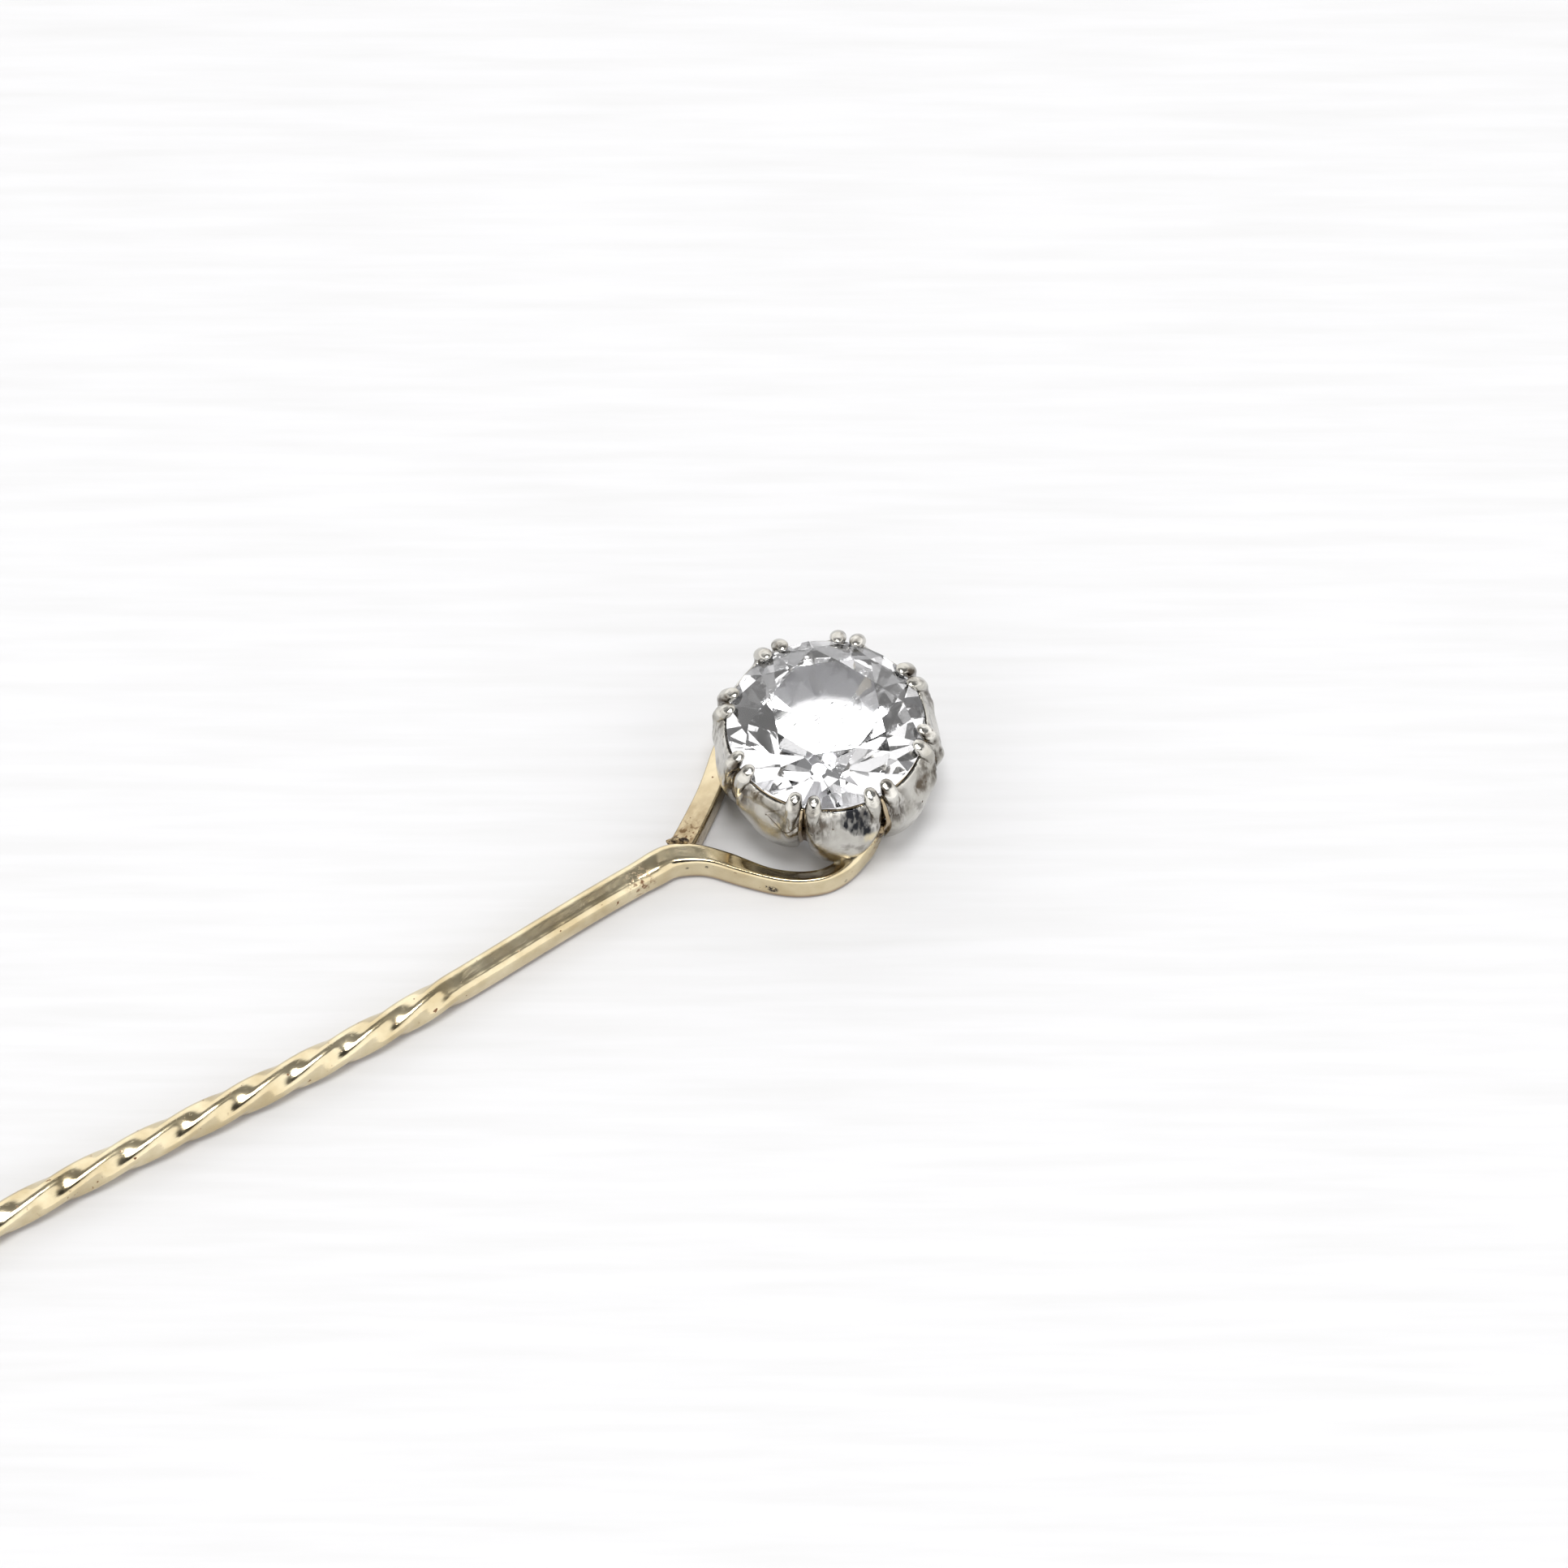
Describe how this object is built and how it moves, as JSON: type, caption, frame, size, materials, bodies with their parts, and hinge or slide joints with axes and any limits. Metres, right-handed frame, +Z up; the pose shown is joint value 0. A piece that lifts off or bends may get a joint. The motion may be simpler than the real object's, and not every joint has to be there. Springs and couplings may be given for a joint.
{
  "type": "hat pin",
  "caption": "Short dress pin: a faceted white stone in a silver and gold petal setting, held by a forked arm on a square wire stem with a twisted section and a sharp point.",
  "frame": {"origin": "middle of the underside of the box round the whole pin as it lies on its back, stone up", "axes": "+X along the pin from the point to the head, +Y across, +Z up out of the stone's table"},
  "size_m": [0.0648, 0.0082, 0.0053],
  "materials": {
    "gold": "polished, worn, pale champagne gold",
    "silver": "polished silver, worn and tarnished in the grooves",
    "solder": "rough, pitted, darkened solder",
    "stone": "clear, colourless, polished facets"
  },
  "bodies": {
    "root": {"stone": "stone", "seat_collet": "gold", "petal_silver_1": "silver", "petal_silver_2": "silver", "petal_silver_3": "silver", "petal_silver_4": "silver", "petal_silver_5": "silver", "petal_silver_6": "silver", "petal_silver_7": "silver", "petal_silver_8": "silver", "petal_gold_1": "gold", "petal_gold_2": "gold", "petal_gold_3": "gold", "petal_gold_4": "gold", "petal_gold_5": "gold", "petal_gold_6": "gold", "petal_gold_7": "gold", "petal_gold_8": "gold", "pin_stem": "gold", "left_arm": "gold", "solder_right": "solder", "solder_left": "solder", "solder_fork": "solder"}
  },
  "joints": []
}
